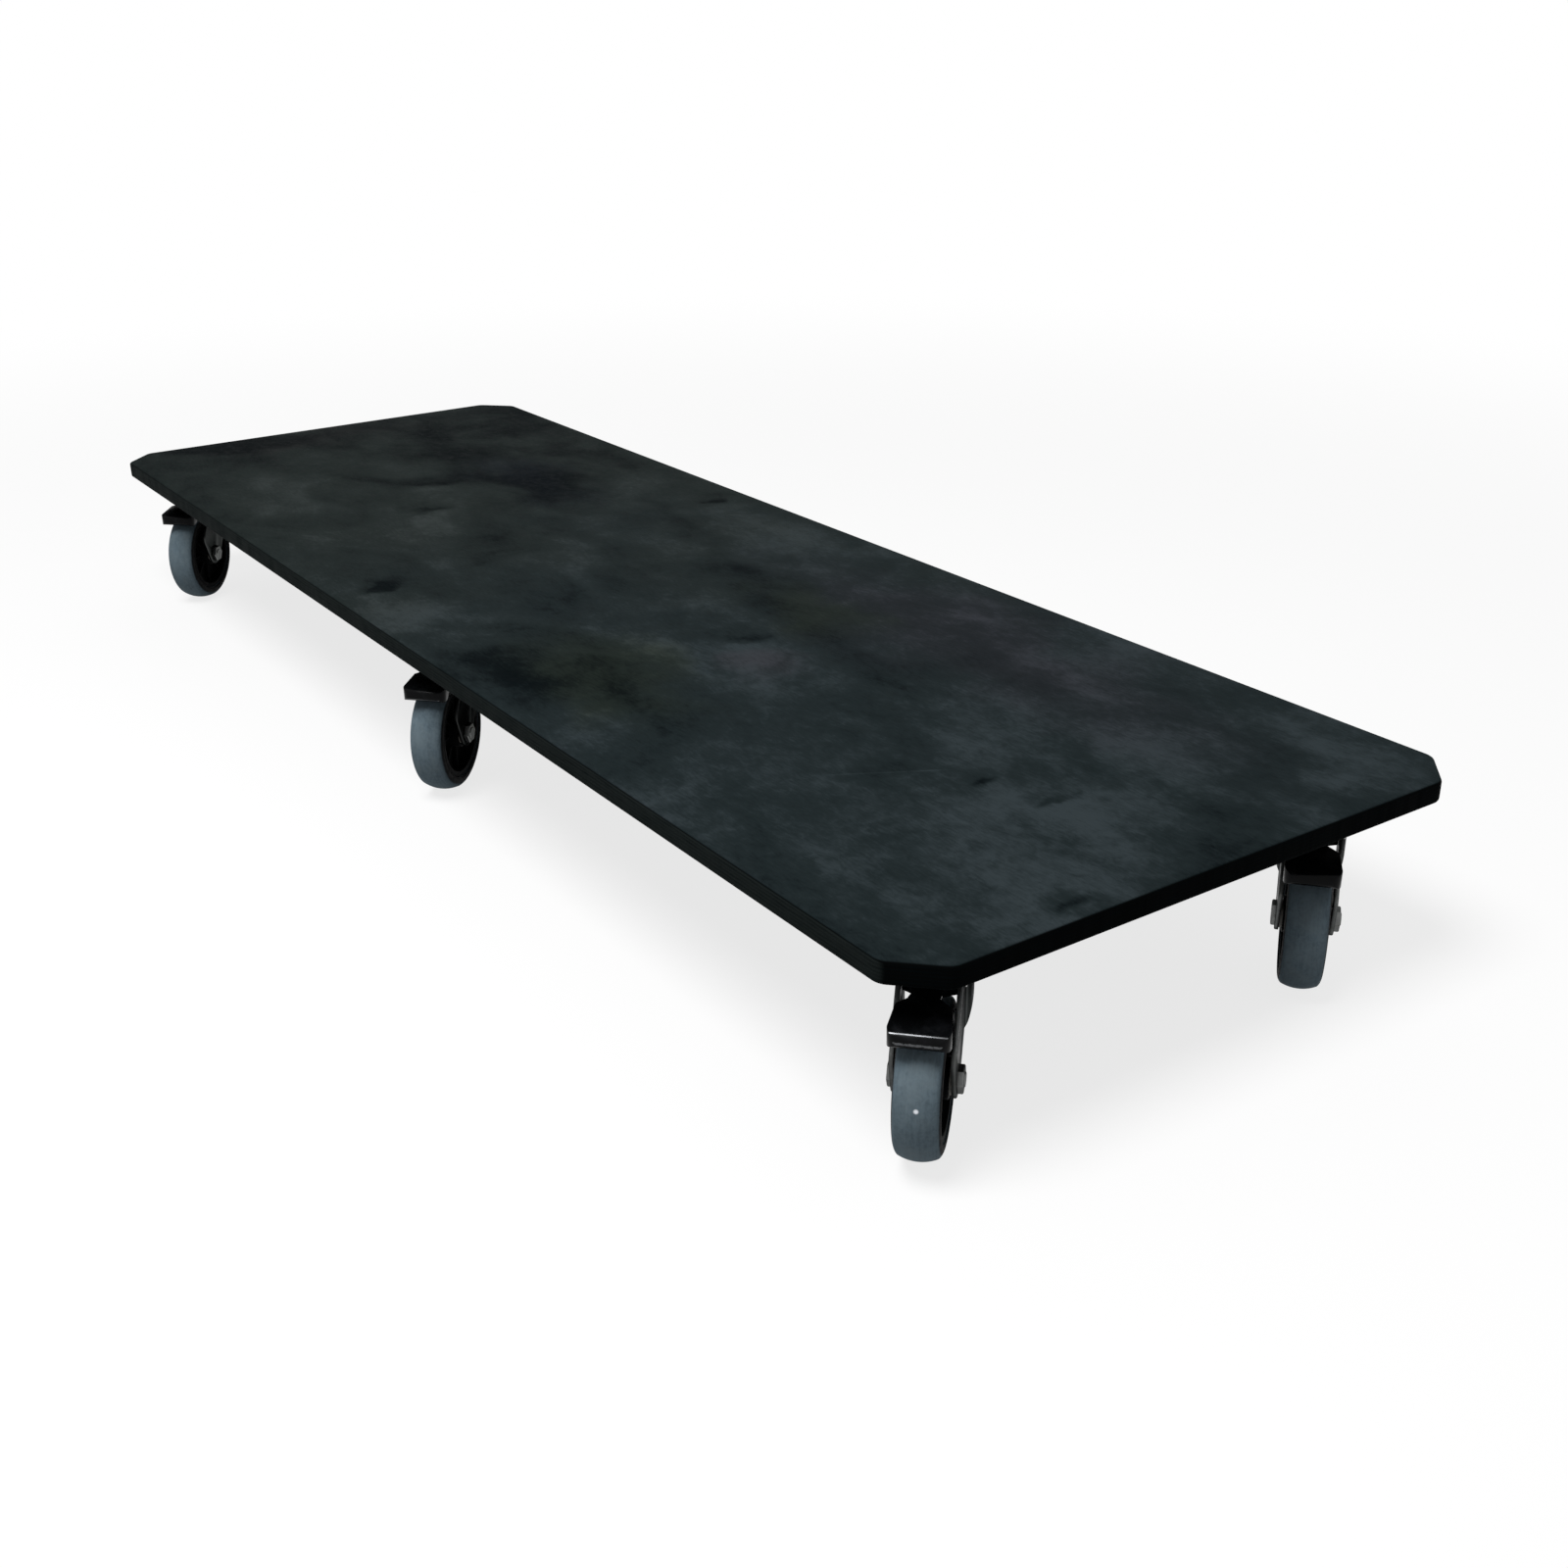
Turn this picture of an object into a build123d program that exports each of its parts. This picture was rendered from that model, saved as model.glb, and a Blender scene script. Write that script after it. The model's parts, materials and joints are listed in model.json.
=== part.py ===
from build123d import *
import os
from math import acos, atan2, cos, floor, hypot, pi, radians, sin, sqrt, tan

# A long flat dolly: a black plywood deck on six swivel casters, each with a foot brake.
# Millimetres. X runs along the deck to its front end, Y to its left side, Z up from the floor.

# Deck board
deck_length = 1800.0
deck_width = 600.0
deck_thickness = 20.0
corner_cut = 38.0
deck_easing = 0.8

# Where the casters stand under the deck
end_inset = 84.0
side_inset = 91.0
# Each caster: its end (1 front, -1 rear), its side (1 left, -1 right) and the direction of its trail
casters = {
    "front_right": (1, -1, -46.3),
    "front_left": (1, 1, -49.5),
    "middle_right": (0, -1, -47.1),
    "middle_left": (0, 1, -45.0),
    "rear_right": (-1, -1, -45.1),
    "rear_left": (-1, 1, -43.0),
}
trail = 48.0

# Wheel
wheel_diameter = 125.0
tread_width = 36.0
tread_rounding = 11.0
tread_crown = 34.0
tyre_depth = 14.0
rim_width = 33.0
rim_wall = 6.0
rim_rib_width = 12.0
rim_rib_height = 3.0
web_thickness = 9.0
hub_diameter = 32.0
hub_length = 37.0
centre_rounding = 1.0

# Hub bushes and axle bolt
axle_diameter = 12.0
bush_wall = 3.0
bush_length = 14.0
bush_flange_diameter = 25.0
bush_flange_thickness = 2.0
axle_head_width = 19.0
axle_head_height = 3.5
axle_nut_height = 4.5
axle_end = 0.9
hex_chamfer = 0.8

# Fork
fork_wall = 3.5
crown_gap = 26.5
bell_diameter = 58.0
shoulder_rounding = 6.0
bell_depth = 66.0
bell_taper = 27.0
leg_boss_diameter = 29.0
leg_drop = 10.0
leg_front = 38.0
cheek_diameter = 22.0
cheek_ahead = 14.0
cheek_above = 24.0
leg_rounding = 1.2

# Top plate
plate_length = 105.0
plate_width = 85.0
plate_thickness = 4.0
plate_corner = 9.0
plate_hole_pitch_x = 80.0
plate_hole_pitch_y = 60.0
plate_hole_diameter = 9.0

# King pin and swivel bearings
king_pin_diameter = 12.0
king_head_diameter = 20.0
king_head_thickness = 4.0
king_head_sink = 0.5
king_head_chamfer = 0.8
king_end_diameter = 18.0
king_end_height = 4.0
king_end_rounding = 2.0
boss_wall = 4.0
upper_pitch_diameter = 40.0
upper_groove_depth = 1.5
lower_pitch_diameter = 25.0
lower_ball_diameter = 6.0
lower_groove_depth = 1.2
ball_spacing = 1.05
race_thickness = 4.0
race_rim = 2.0

# Foot brake
pedal_pin_diameter = 8.0
pedal_pin_reach = 26.0
pedal_pin_rise = 8.5
pedal_pin_head_diameter = 11.0
pedal_pin_head_height = 2.0
pedal_pin_head_rounding = 0.9
pedal_wall = 2.0
pedal_cheek_diameter = 19.0
pedal_reach = 102.0
pedal_lip_height = 13.0
pedal_tip_rise = 3.5
pedal_width = 46.0
pedal_shoulder_width = 41.0
pedal_stem_width = 22.0
pedal_corner = 10.0
pedal_neck_end = 36.0
pedal_neck_taper = 9.0
pedal_stem_end = 61.0
pedal_flare = 8.0
pedal_swing = 5.5
shoe_length = 28.0
shoe_width = 17.0
shoe_ahead = 7.0

# Deck screws
screw_diameter = 7.0
screw_bite = 14.0
screw_flange_diameter = 17.0
screw_flange_thickness = 2.0
screw_head_width = 13.0
screw_head_height = 6.0
screw_point = 1.8

# Clearances
running_clearance = 0.06
seat_clearance = 0.03
ball_clearance = 0.1
swivel_gap = 0.5
king_pin_gap = 0.5
leg_gap = 0.3
pedal_gap = 0.5
pedal_tread_gap = 1.3
shoe_gap = 0.4

# Heights, from the wheel's axle up to the deck
axle_height = wheel_diameter / 2
crown_under = wheel_diameter + crown_gap
crown_top = crown_under + fork_wall
boss_bottom = crown_top + swivel_gap
head_seat = boss_bottom + boss_wall
plate_top = head_seat + king_head_thickness + king_head_sink
plate_bottom = plate_top - plate_thickness
upper_ball_diameter = plate_bottom - crown_top + 2 * upper_groove_depth
upper_ball_height = (plate_bottom + crown_top) / 2
lower_ball_height = crown_under + lower_groove_depth - lower_ball_diameter / 2
race_top = lower_ball_height - lower_ball_diameter / 2 + lower_groove_depth
race_bottom = race_top - race_thickness

# Radii and half widths that follow from the sizes above
wheel_radius = wheel_diameter / 2
rim_radius = wheel_radius - tyre_depth
axle_radius = axle_diameter / 2
bush_radius = axle_radius + running_clearance + bush_wall
leg_inner = hub_length / 2 + bush_flange_thickness + leg_gap
leg_outer = leg_inner + fork_wall
bell_radius = bell_diameter / 2
king_pin_radius = king_pin_diameter / 2
pedal_neck = leg_inner - pedal_gap

# The wheel turns about an axis along Y; its half section is drawn with x along the axle and y outwards
wheel_axis = Axis((trail, 0, axle_height), (0, 1, 0))
wheel_section = Plane(origin=(trail, 0, axle_height), x_dir=(0, 1, 0), z_dir=(1, 0, 0))

# The pedal pin, the middle of the pedal's round lip, and the slope of the panel between them
pin_x = pedal_pin_reach
pin_z = wheel_diameter + pedal_pin_rise
lip_radius = pedal_lip_height / 2
lip_x = pedal_reach - lip_radius
lip_z = wheel_diameter + pedal_tip_rise - lip_radius
cheek_radius = pedal_cheek_diameter / 2
panel_angle = atan2(lip_z - pin_z, lip_x - pin_x)
panel_angle = panel_angle + acos((cheek_radius - lip_radius) / hypot(lip_x - pin_x, lip_z - pin_z))


def panel_underside(x):
    """Height of the underside of the pedal's panel at x, with the pedal up."""
    reach = cheek_radius - pedal_wall
    return pin_z + (reach - (x - pin_x) * cos(panel_angle)) / sin(panel_angle)


# Where the wheel's centre stands as seen from the pedal once the pedal is pressed right down
swing = radians(pedal_swing)
pressed_x = pin_x + (trail - pin_x) * cos(swing) - (axle_height - pin_z) * sin(swing)
pressed_z = pin_z + (trail - pin_x) * sin(swing) + (axle_height - pin_z) * cos(swing)

# The flat rubbing face of the shoe then lies along the tread, square to the line from the wheel's centre
shoe_middle = trail + shoe_ahead
shoe_angle = atan2(panel_underside(shoe_middle) - pressed_z, shoe_middle - pressed_x)


def shoe_underside(x):
    """Height of the shoe's rubbing face at x, with the pedal up."""
    reach = wheel_radius + shoe_gap
    return pressed_z + (reach - (x - pressed_x) * cos(shoe_angle)) / sin(shoe_angle)


def across(x, y, z):
    """Plane square to the axle at this point, facing the left side of the caster."""
    return Plane(origin=(x, y, z), x_dir=(1, 0, 0), z_dir=(0, 1, 0))


def swivel_point(end, side):
    """Where a caster's swivel axis meets the floor."""
    return (end * (deck_length / 2 - end_inset), side * (deck_width / 2 - side_inset), 0)


def ball_count(pitch_diameter, ball_diameter):
    """How many balls fit round a race."""
    return floor(pi * pitch_diameter / (ball_diameter * ball_spacing))


def export(model, node):
    """Write one finished node."""
    model.part.label = node
    export_step(model.part, f"parts/{node}.step")


def place(model, node, spot, turn):
    """Write a copy of a caster piece, moved to its swivel axis and turned to its trail direction."""
    with BuildPart() as placed:
        with Locations(Location(spot, (0, 0, turn))):
            add(model.part)
    export(placed, node)


os.makedirs("parts", exist_ok=True)
swivel_points = [swivel_point(end, side) for end, side, turn in casters.values()]
screw_spots = [Location((x, y, plate_bottom)) for x, y, z in swivel_points]

# Deck: one board with clipped corners, bored from below for the screws
with BuildPart() as deck:
    with BuildSketch(Plane.XY.offset(plate_top)) as deck_outline:
        Rectangle(deck_length, deck_width)
        chamfer(deck_outline.vertices(), corner_cut)
    extrude(amount=deck_thickness)
    deck_faces = deck.faces().filter_by(Axis.Z)
    chamfer(deck_faces.edges(), deck_easing)
    with BuildSketch(Plane.XY.offset(plate_top)):
        with Locations(*swivel_points):
            with GridLocations(plate_hole_pitch_x, plate_hole_pitch_y, 2, 2):
                Circle(screw_diameter / 2 + seat_clearance)
    extrude(amount=screw_bite, mode=Mode.SUBTRACT)
export(deck, "deck")

# Deck screws: hexagon heads with a flange, driven up through the top plates
with BuildPart() as screw:
    with BuildSketch():
        Circle(screw_flange_diameter / 2)
    extrude(amount=-screw_flange_thickness)
    with BuildSketch():
        RegularPolygon(screw_head_width / 2, 6, major_radius=False)
    extrude(amount=-screw_head_height)
    chamfer(screw.faces().sort_by(Axis.Z)[0].edges(), hex_chamfer)
    with BuildSketch():
        Circle(screw_diameter / 2)
    extrude(amount=plate_thickness + screw_bite)
    chamfer(screw.faces().sort_by(Axis.Z)[-1].edges(), screw_point)

with BuildPart() as deck_screws:
    with Locations(*screw_spots):
        with GridLocations(plate_hole_pitch_x, plate_hole_pitch_y, 2, 2):
            add(screw.part)
export(deck_screws, "deck_screws")

# Top plate: pressed plate with four screw holes, a sunk boss for the king pin and a ball groove
with BuildPart() as top_plate:
    with BuildSketch(Plane.XY.offset(plate_bottom)):
        RectangleRounded(plate_length, plate_width, plate_corner)
        with GridLocations(plate_hole_pitch_x, plate_hole_pitch_y, 2, 2):
            Circle(plate_hole_diameter / 2, mode=Mode.SUBTRACT)
    extrude(amount=plate_thickness)
    with BuildSketch(Plane.XY.offset(boss_bottom)):
        Circle(king_head_diameter / 2 + swivel_gap + plate_thickness)
    extrude(until=Until.NEXT)
    with BuildSketch(Plane.XY.offset(head_seat)):
        Circle(king_head_diameter / 2 + swivel_gap)
    extrude(amount=plate_thickness + boss_wall, mode=Mode.SUBTRACT)
    with BuildSketch(Plane.XY.offset(boss_bottom)):
        Circle(king_pin_radius + seat_clearance)
    extrude(amount=boss_wall, mode=Mode.SUBTRACT)
    with BuildSketch(Plane.XZ):
        with Locations((upper_pitch_diameter / 2, upper_ball_height)):
            Circle(upper_ball_diameter / 2 + ball_clearance)
    revolve(axis=Axis.Z, mode=Mode.SUBTRACT)

# King pin: headed above the boss, peened over under the lower race
with BuildPart() as king_pin:
    with BuildSketch(Plane.XY.offset(head_seat)):
        Circle(king_head_diameter / 2)
    extrude(amount=king_head_thickness)
    with BuildSketch(Plane.XY.offset(head_seat)):
        Circle(king_pin_radius)
    extrude(amount=race_bottom - head_seat)
    with BuildSketch(Plane.XY.offset(race_bottom)):
        Circle(king_end_diameter / 2)
    extrude(amount=-king_end_height)
    fillet(king_pin.faces().sort_by(Axis.Z)[0].edges(), king_end_rounding)
    chamfer(king_pin.faces().sort_by(Axis.Z)[-1].edges(), king_head_chamfer)

# Lower race: a grooved ring that the king pin holds up against the lower balls
with BuildPart() as lower_race:
    with BuildSketch(Plane.XY.offset(race_bottom)):
        Circle(lower_pitch_diameter / 2 + lower_ball_diameter / 2 + race_rim)
        Circle(king_pin_radius + seat_clearance, mode=Mode.SUBTRACT)
    extrude(amount=race_thickness)
    with BuildSketch(Plane.XZ):
        with Locations((lower_pitch_diameter / 2, lower_ball_height)):
            Circle(lower_ball_diameter / 2 + ball_clearance)
    revolve(axis=Axis.Z, mode=Mode.SUBTRACT)

with BuildPart() as king_pins:
    with Locations(*swivel_points):
        add(king_pin.part)
export(king_pins, "king_pins")

with BuildPart() as lower_races:
    with Locations(*swivel_points):
        add(lower_race.part)
export(lower_races, "lower_races")

# Bearing balls: an upper row between plate and fork, a lower row between fork and race
with BuildPart() as bearing_balls:
    with Locations(*[Location((x, y, upper_ball_height)) for x, y, z in swivel_points]):
        with PolarLocations(upper_pitch_diameter / 2, ball_count(upper_pitch_diameter, upper_ball_diameter)):
            Sphere(upper_ball_diameter / 2)
    with Locations(*[Location((x, y, lower_ball_height)) for x, y, z in swivel_points]):
        with PolarLocations(lower_pitch_diameter / 2, ball_count(lower_pitch_diameter, lower_ball_diameter)):
            Sphere(lower_ball_diameter / 2)
export(bearing_balls, "bearing_balls")

# Fork: a pressed bell round the swivel axis that runs down into two flat legs
leg_top = crown_top - leg_drop
leg_back = sqrt(bell_radius ** 2 - leg_inner ** 2)


def draw_leg(view):
    """Side view of the legs, as the hull of their round corners."""
    with Locations((trail, axle_height)):
        Circle(leg_boss_diameter / 2)
    with Locations((trail + cheek_ahead, axle_height + cheek_above)):
        Circle(cheek_diameter / 2)
    with Locations((shoulder_rounding - leg_back, leg_top - shoulder_rounding)):
        Circle(shoulder_rounding)
    with Locations((leg_front - shoulder_rounding, leg_top - shoulder_rounding)):
        Circle(shoulder_rounding)
    make_hull(view.edges())


def draw_bell(radius, top, foot):
    """Half section of the bell: flat crown, round shoulder, straight skirt and a taper to the legs."""
    rounding = shoulder_rounding - (bell_radius - radius)
    skirt = crown_top - bell_depth
    with BuildLine() as section:
        crown = Line((0, top), (radius - rounding, top))
        shoulder = RadiusArc(crown @ 1, (radius, top - rounding), rounding)
        side = Line(shoulder @ 1, (radius, skirt))
        taper = Line(side @ 1, (foot, skirt - bell_taper))
        floor_line = Line(taper @ 1, (0, skirt - bell_taper))
        Line(floor_line @ 1, crown @ 0)
    make_face(section.edges())


with BuildPart() as fork:
    with BuildSketch(Plane.XZ) as leg_view:
        draw_leg(leg_view)
        Rectangle(bell_diameter, crown_top, align=(Align.MAX, Align.MIN), mode=Mode.SUBTRACT)
    extrude(amount=leg_outer, both=True)
    with BuildSketch(Plane.XZ):
        draw_bell(bell_radius, crown_top, leg_outer)
    revolve(axis=Axis.Z)
    with BuildSketch(Plane.XZ) as side_view:
        draw_leg(side_view)
        with Locations((0, crown_top)):
            Rectangle(bell_diameter, leg_drop + shoulder_rounding, align=(Align.CENTER, Align.MAX))
    extrude(amount=bell_radius, both=True, mode=Mode.INTERSECT)
    with BuildSketch(Plane.XZ):
        draw_bell(bell_radius - fork_wall, crown_under, leg_inner)
    revolve(axis=Axis.Z, mode=Mode.SUBTRACT)
    with BuildSketch(Plane.YZ):
        Rectangle(2 * leg_inner, crown_under, align=(Align.CENTER, Align.MIN))
    extrude(amount=wheel_diameter, both=True, mode=Mode.SUBTRACT)
    with BuildSketch(across(trail, 0, axle_height)):
        Circle(axle_radius + running_clearance)
    extrude(amount=leg_outer, both=True, mode=Mode.SUBTRACT)
    with BuildSketch(across(pin_x, 0, pin_z)):
        Circle(pedal_pin_diameter / 2 + seat_clearance)
    extrude(amount=bell_radius, both=True, mode=Mode.SUBTRACT)
    with BuildSketch(Plane.XY.offset(crown_top)):
        Circle(king_pin_radius + king_pin_gap)
    extrude(amount=-fork_wall, mode=Mode.SUBTRACT)
    with BuildSketch(Plane.XZ):
        with Locations((upper_pitch_diameter / 2, upper_ball_height)):
            Circle(upper_ball_diameter / 2 + ball_clearance)
        with Locations((lower_pitch_diameter / 2, lower_ball_height)):
            Circle(lower_ball_diameter / 2 + ball_clearance)
    revolve(axis=Axis.Z, mode=Mode.SUBTRACT)
    leg_faces = fork.faces().filter_by(Axis.Y).sort_by(Axis.Y)
    leg_rims = leg_faces[0].outer_wire().edges() + leg_faces[-1].outer_wire().edges()
    bell_meets_leg = sqrt(bell_radius ** 2 - leg_outer ** 2)
    fillet(leg_rims.filter_by(lambda edge: edge.center().X > bell_meets_leg + leg_rounding), leg_rounding)

# Axle bolt through both legs, with a hexagon head on one side and a thin lock nut on the other
with BuildPart() as axle_bolt:
    with BuildSketch(across(trail, -leg_outer, axle_height)):
        RegularPolygon(axle_head_width / 2, 6, major_radius=False)
    extrude(amount=-axle_head_height)
    chamfer(axle_bolt.faces().sort_by(Axis.Y)[0].edges(), hex_chamfer)
    with BuildSketch(across(trail, -leg_outer, axle_height)):
        Circle(axle_radius)
    extrude(amount=2 * leg_outer + axle_nut_height + axle_end)
    chamfer(axle_bolt.faces().sort_by(Axis.Y)[-1].edges(), hex_chamfer)

with BuildPart() as axle_nut:
    with BuildSketch(across(trail, leg_outer, axle_height)):
        RegularPolygon(axle_head_width / 2, 6, major_radius=False)
    extrude(amount=axle_nut_height)
    chamfer(axle_nut.faces().sort_by(Axis.Y)[-1].edges(), hex_chamfer)
    with BuildSketch(across(trail, leg_outer, axle_height)):
        Circle(axle_radius + seat_clearance)
    extrude(amount=axle_nut_height, mode=Mode.SUBTRACT)

with BuildPart() as axle_set:
    add(axle_bolt.part)
    add(axle_nut.part)

# Hub bushes: one flanged bush pressed into each end of the hub
with BuildPart() as wheel_bushes:
    with BuildSketch(wheel_section) as bush_half:
        bush_bore = axle_radius + running_clearance
        with Locations((hub_length / 2 - bush_length, bush_bore)):
            Rectangle(bush_length, bush_wall, align=(Align.MIN, Align.MIN))
        with Locations((hub_length / 2, bush_bore)):
            Rectangle(
                bush_flange_thickness,
                bush_flange_diameter / 2 - bush_bore,
                align=(Align.MIN, Align.MIN),
            )
        mirror(about=Plane.YZ)
    revolve(axis=wheel_axis)

# Wheel centre: hub, web and rim band with a rib that holds the tyre
with BuildPart() as wheel_centre:
    with BuildSketch(wheel_section) as centre_half:
        hub_bore = bush_radius + seat_clearance
        with Locations((0, hub_bore)):
            Rectangle(hub_length, hub_diameter / 2 - hub_bore, align=(Align.CENTER, Align.MIN))
            Rectangle(web_thickness, rim_radius - hub_bore, align=(Align.CENTER, Align.MIN))
        with Locations((0, rim_radius)):
            Rectangle(rim_width, rim_wall, align=(Align.CENTER, Align.MAX))
        fillet(centre_half.vertices(), centre_rounding)
        with Locations((0, rim_radius)):
            Rectangle(rim_rib_width, rim_rib_height, align=(Align.CENTER, Align.MIN))
    revolve(axis=wheel_axis)

# Tyre: a solid ring with a crowned tread and rounded shoulders, grooved inside for the rim's rib
with BuildPart() as tyre:
    with BuildSketch(wheel_section) as tyre_half:
        tyre_bore = rim_radius + seat_clearance
        with Locations((0, wheel_radius)):
            Rectangle(tread_width, wheel_radius - tyre_bore, align=(Align.CENTER, Align.MAX))
        fillet(tyre_half.vertices().group_by(Axis.Y)[-1], tread_rounding)
        with Locations((0, wheel_radius - tread_crown)):
            Circle(tread_crown, mode=Mode.INTERSECT)
        with Locations((0, tyre_bore)):
            Rectangle(
                rim_rib_width + 2 * seat_clearance,
                rim_rib_height,
                align=(Align.CENTER, Align.MIN),
                mode=Mode.SUBTRACT,
            )
    revolve(axis=wheel_axis)

# Pedal pin: riveted over outside both legs
with BuildPart() as pedal_pin:
    with BuildSketch(across(pin_x, 0, pin_z)):
        Circle(pedal_pin_diameter / 2)
    extrude(amount=leg_outer, both=True)
    for side in (-1, 1):
        with BuildSketch(across(pin_x, side * leg_outer, pin_z)):
            Circle(pedal_pin_head_diameter / 2)
        extrude(amount=side * pedal_pin_head_height)
    head_faces = pedal_pin.faces().sort_by(Axis.Y)
    fillet(head_faces[0].edges() + head_faces[-1].edges(), pedal_pin_head_rounding)


def draw_pedal(view, inset):
    """Side view of the brake pedal: round cheek at the pin, flat panel, round lip at the toe."""
    with Locations((pin_x, pin_z)):
        Circle(cheek_radius - inset)
    with Locations((lip_x, lip_z)):
        Circle(lip_radius - inset)
    make_hull(view.edges())


def draw_pedal_plan(inset):
    """Plan of the brake pedal: a neck between the legs, a narrow stem over the wheel and a wide toe pad."""
    neck = pedal_neck - inset
    stem = pedal_stem_width / 2 - inset
    shoulder = pedal_shoulder_width / 2 - inset
    toe = pedal_width / 2 - inset
    back = pin_x - pedal_cheek_diameter
    front = pedal_reach - inset
    corner = pedal_corner - inset
    neck_end = pedal_neck_end - inset * tan(atan2(neck - stem, pedal_neck_taper) / 2)
    stem_start = neck_end + pedal_neck_taper
    stem_end = pedal_stem_end + inset * tan(atan2(shoulder - stem, pedal_flare) / 2)
    pad_start = stem_end + pedal_flare
    with BuildLine() as plan:
        Polyline((back, neck), (neck_end, neck), (stem_start, stem), (stem_end, stem))
        Polyline((stem_end, stem), (pad_start, shoulder), (front - corner, toe))
        RadiusArc((front - corner, toe), (front, toe - corner), corner)
        Line((front, toe - corner), (front, 0))
        mirror(about=Plane.XZ)
        Line((back, -neck), (back, neck))
    make_face(plan.edges())


# The hollow of the pedal: open underneath and at the back, closed by the panel, the flanges and the lip
with BuildPart() as pedal_hollow:
    with BuildSketch(Plane.XZ) as hollow_view:
        draw_pedal(hollow_view, pedal_wall)
        with BuildLine():
            Polyline((lip_x, lip_z), (pin_x, pin_z), (pin_x, axle_height), (lip_x, axle_height), close=True)
        make_face()
        with Locations((pin_x, pin_z + cheek_radius - pedal_wall)):
            Rectangle(pedal_cheek_diameter, pedal_reach, align=(Align.MAX, Align.MAX))
    extrude(amount=pedal_width, both=True)
    with BuildSketch(Plane.XY):
        draw_pedal_plan(pedal_wall)
    extrude(amount=crown_top, mode=Mode.INTERSECT)

# Brake pedal: a pressing whose stem stops short of the tread when the pedal is right down
with BuildPart() as brake_pedal:
    with BuildSketch(Plane.XZ) as pedal_view:
        draw_pedal(pedal_view, 0)
    extrude(amount=pedal_width, both=True)
    with BuildSketch(Plane.XY):
        draw_pedal_plan(0)
    extrude(amount=crown_top, mode=Mode.INTERSECT)
    add(pedal_hollow.part, mode=Mode.SUBTRACT)
    with BuildSketch(Plane.XZ):
        with Locations((pressed_x, pressed_z)):
            Circle(wheel_radius + pedal_tread_gap)
        with Locations((pedal_stem_end + pedal_flare + pedal_wall, axle_height)):
            Rectangle(pedal_reach, pedal_reach, align=(Align.MIN, Align.MIN), mode=Mode.SUBTRACT)
    extrude(amount=pedal_width, both=True, mode=Mode.SUBTRACT)
    with BuildSketch(across(pin_x, 0, pin_z)):
        Circle(pedal_pin_diameter / 2 + running_clearance)
    extrude(amount=pedal_width, both=True, mode=Mode.SUBTRACT)

# Brake shoe: a wedge fixed under the panel, whose flat face meets the tread when the pedal is right down
with BuildPart() as brake_shoe:
    with BuildSketch(Plane.XZ):
        shoe_start = shoe_middle - shoe_length / 2
        shoe_end = shoe_start + shoe_length
        with BuildLine():
            Polyline(
                (shoe_start, panel_underside(shoe_start)),
                (shoe_end, panel_underside(shoe_end)),
                (shoe_end, shoe_underside(shoe_end)),
                (shoe_start, shoe_underside(shoe_start)),
                close=True,
            )
        make_face()
    extrude(amount=shoe_width / 2, both=True)

# Each caster gets its own copies; only its top plate keeps square to the deck
for caster, (end, side, turn) in casters.items():
    spot = swivel_point(end, side)
    place(top_plate, f"top_plate_{caster}", spot, 0)
    place(fork, f"fork_{caster}", spot, turn)
    place(axle_set, f"axle_bolt_{caster}", spot, turn)
    place(wheel_bushes, f"wheel_bushes_{caster}", spot, turn)
    place(wheel_centre, f"wheel_centre_{caster}", spot, turn)
    place(tyre, f"tyre_{caster}", spot, turn)
    place(pedal_pin, f"pedal_pin_{caster}", spot, turn)
    place(brake_pedal, f"brake_pedal_{caster}", spot, turn)
    place(brake_shoe, f"brake_shoe_{caster}", spot, turn)
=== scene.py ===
import json
import math

import bmesh
import bpy
from bpy.props import FloatProperty, FloatVectorProperty, IntProperty, PointerProperty
from mathutils import Matrix, Vector


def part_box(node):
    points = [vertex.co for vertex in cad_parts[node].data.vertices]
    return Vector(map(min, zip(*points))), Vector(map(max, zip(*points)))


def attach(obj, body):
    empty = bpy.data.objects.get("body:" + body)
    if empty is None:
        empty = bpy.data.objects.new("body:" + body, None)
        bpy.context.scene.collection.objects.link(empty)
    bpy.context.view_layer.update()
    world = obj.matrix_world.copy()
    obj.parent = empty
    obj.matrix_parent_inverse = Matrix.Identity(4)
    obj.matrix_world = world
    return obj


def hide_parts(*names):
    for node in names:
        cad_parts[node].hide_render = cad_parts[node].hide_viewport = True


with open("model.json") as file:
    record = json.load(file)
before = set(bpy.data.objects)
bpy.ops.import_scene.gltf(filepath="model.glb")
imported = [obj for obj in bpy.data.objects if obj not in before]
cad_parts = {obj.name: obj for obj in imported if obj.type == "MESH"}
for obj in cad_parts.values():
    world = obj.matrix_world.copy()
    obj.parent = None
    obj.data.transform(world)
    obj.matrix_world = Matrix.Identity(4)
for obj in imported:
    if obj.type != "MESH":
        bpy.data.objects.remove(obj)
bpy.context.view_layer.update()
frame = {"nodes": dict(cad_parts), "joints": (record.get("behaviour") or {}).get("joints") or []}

bl_info = {
    "name": "Caster Platform",
    "version": (1, 0, 0),
    "blender": (4, 5, 0),
    "location": "3D View > Sidebar > Platform",
    "description": "Models and finishes a low plywood platform on six braked swivel casters",
    "category": "Object",
}

# What the frame says about the casters; in a caster's own axes X runs along its trail and Y along its axle
MM = 0.001
ROLL = "_wheel_roll"
JOINTS = {joint["name"]: joint for joint in frame["joints"]}
CASTERS = [name[: -len(ROLL)] for name in JOINTS if name.endswith(ROLL)]
MODEL_CASTER = CASTERS[0]


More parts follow.
